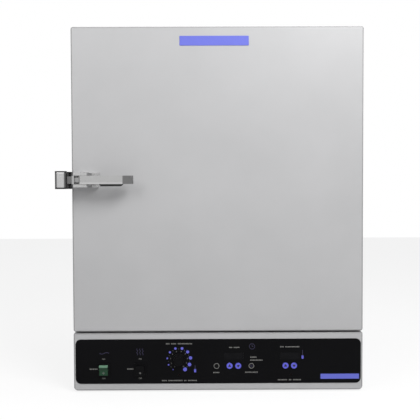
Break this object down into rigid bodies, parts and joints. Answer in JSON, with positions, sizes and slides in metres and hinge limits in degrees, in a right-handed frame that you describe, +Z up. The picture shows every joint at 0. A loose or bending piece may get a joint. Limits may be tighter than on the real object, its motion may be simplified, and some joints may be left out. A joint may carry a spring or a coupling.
{
  "type": "gravity convection oven",
  "caption": "Bench gravity convection oven with a side-hinged insulated door, a pull latch, wire shelves, and a low front panel of switches, dial and keys.",
  "frame": {"origin": "on the bench, under the middle of the closed oven's whole outline, latch and hinges included", "axes": "+X to the right as one faces the door, +Y to the rear, +Z up"},
  "size_m": [0.6992, 0.63, 0.8468],
  "materials": {
    "body_paint": "fine textured light grey enamel",
    "stainless": "brushed stainless sheet",
    "zinc_plate": "plain zinc plated steel",
    "bright_wire": "bright nickel plated wire",
    "latch_chrome": "satin chrome casting",
    "hinge_steel": "satin steel",
    "probe_steel": "polished sheath",
    "heater_sheath": "heat darkened sheath",
    "mineral_wool": "soft fibre batt",
    "seal": "grey silicone",
    "foot_rubber": "matt black",
    "faceplate": "satin black film",
    "display_window": "smoked window",
    "black_plastic": "satin black",
    "green_rocker": "translucent green",
    "blue_key": "satin blue",
    "dark_key": "satin black with a grey ring",
    "lamp_lens": "dark lens",
    "circuit_board": "green laminate",
    "relay_body": "finned heat sink",
    "terminal_plastic": "cream moulding"
  },
  "bodies": {
    "cabinet": {"outer_wrap": "body_paint", "back_panel": "body_paint", "control_housing": "body_paint", "chamber_liner": "stainless", "chamber_floor": "stainless", "face_frame": "stainless", "shelf_standards": "stainless", "shelf_clips": "stainless", "floor_rails": "stainless", "heater_brackets": "stainless", "exhaust_tube": "stainless", "intake_tube": "stainless", "base_pan": "zinc_plate", "deck_plate": "zinc_plate", "cabinet_screws": "zinc_plate", "vent_screw": "zinc_plate", "shelf_lower": "bright_wire", "shelf_upper": "bright_wire", "strike": "latch_chrome", "hinge_leaves_cabinet": "hinge_steel", "hinge_pins": "hinge_steel", "vent_cover": "hinge_steel", "temperature_probe": "probe_steel", "limit_probe": "probe_steel", "heater_elements": "heater_sheath", "insulation": "mineral_wool", "feet": "foot_rubber", "control_overlay": "faceplate", "timer_display": "display_window", "temperature_display": "display_window", "power_switch_frame": "black_plastic", "timer_switch_frame": "black_plastic", "limit_thermostat": "black_plastic", "power_inlet": "black_plastic", "signal_lamps": "lamp_lens", "control_board": "circuit_board", "power_relay": "relay_body", "terminal_block": "terminal_plastic"},
    "door": {"door_skin": "body_paint", "door_inner_panel": "stainless", "door_insulation": "mineral_wool", "door_gasket": "seal", "hinge_leaves_door": "hinge_steel", "door_screws": "zinc_plate", "latch_base": "latch_chrome", "latch_pivot_pin": "latch_chrome"},
    "latch_lever": {"latch_lever": "latch_chrome"},
    "latch_bolt": {"latch_bolt": "latch_chrome"},
    "power_rocker": {"power_rocker": "green_rocker"},
    "timer_rocker": {"timer_rocker": "black_plastic"},
    "limit_knob": {"limit_knob": "black_plastic", "limit_shaft": "zinc_plate"},
    "vent_damper": {"vent_damper": "hinge_steel"},
    "reset_button": {"reset_button": "dark_key"},
    "timer_up_button": {"timer_up_button": "blue_key"},
    "timer_down_button": {"timer_down_button": "blue_key"},
    "start_button": {"start_button": "dark_key"},
    "temperature_up_button": {"temperature_up_button": "blue_key"},
    "temperature_down_button": {"temperature_down_button": "blue_key"}
  },
  "joints": [
    {"name": "door_swing", "type": "hinge", "parent": "cabinet", "child": "door", "pos_m": [0.3456, -0.211, 0.4835], "axis": [0, 0, 1], "range_deg": [0, 180]},
    {"name": "latch_pull", "type": "hinge", "parent": "door", "child": "latch_lever", "pos_m": [-0.2896, -0.296, 0.4841], "axis": [0, 0, -1], "range_deg": [0, 35], "stiffness_Nm_per_rad": 0.6},
    {"name": "bolt_slide", "type": "slide", "parent": "latch_lever", "child": "latch_bolt", "axis": [1, 0, 0], "range_m": [0, 0.008], "stiffness_N_per_m": 400},
    {"name": "power_rock", "type": "hinge", "parent": "cabinet", "child": "power_rocker", "pos_m": [-0.2501, -0.2698, 0.0505], "axis": [-1, 0, 0], "range_deg": [0, 24]},
    {"name": "timer_rock", "type": "hinge", "parent": "cabinet", "child": "timer_rocker", "pos_m": [-0.1668, -0.2698, 0.0505], "axis": [-1, 0, 0], "range_deg": [0, 24]},
    {"name": "limit_turn", "type": "hinge", "parent": "cabinet", "child": "limit_knob", "pos_m": [-0.0785, -0.2738, 0.0741], "axis": [0, 1, 0], "range_deg": [-150, 148]},
    {"name": "vent_turn", "type": "hinge", "parent": "cabinet", "child": "vent_damper", "pos_m": [0.0114, 0.092, 0.8365], "axis": [0, 0, 1], "range_deg": [0, 45]},
    {"name": "reset_press", "type": "slide", "parent": "cabinet", "child": "reset_button", "axis": [0, 1, 0], "range_m": [0, 0.0006], "stiffness_N_per_m": 800},
    {"name": "timer_up_press", "type": "slide", "parent": "cabinet", "child": "timer_up_button", "axis": [0, 1, 0], "range_m": [0, 0.0006], "stiffness_N_per_m": 800},
    {"name": "timer_down_press", "type": "slide", "parent": "cabinet", "child": "timer_down_button", "axis": [0, 1, 0], "range_m": [0, 0.0006], "stiffness_N_per_m": 800},
    {"name": "start_press", "type": "slide", "parent": "cabinet", "child": "start_button", "axis": [0, 1, 0], "range_m": [0, 0.0006], "stiffness_N_per_m": 800},
    {"name": "temperature_up_press", "type": "slide", "parent": "cabinet", "child": "temperature_up_button", "axis": [0, 1, 0], "range_m": [0, 0.0006], "stiffness_N_per_m": 800},
    {"name": "temperature_down_press", "type": "slide", "parent": "cabinet", "child": "temperature_down_button", "axis": [0, 1, 0], "range_m": [0, 0.0006], "stiffness_N_per_m": 800}
  ]
}
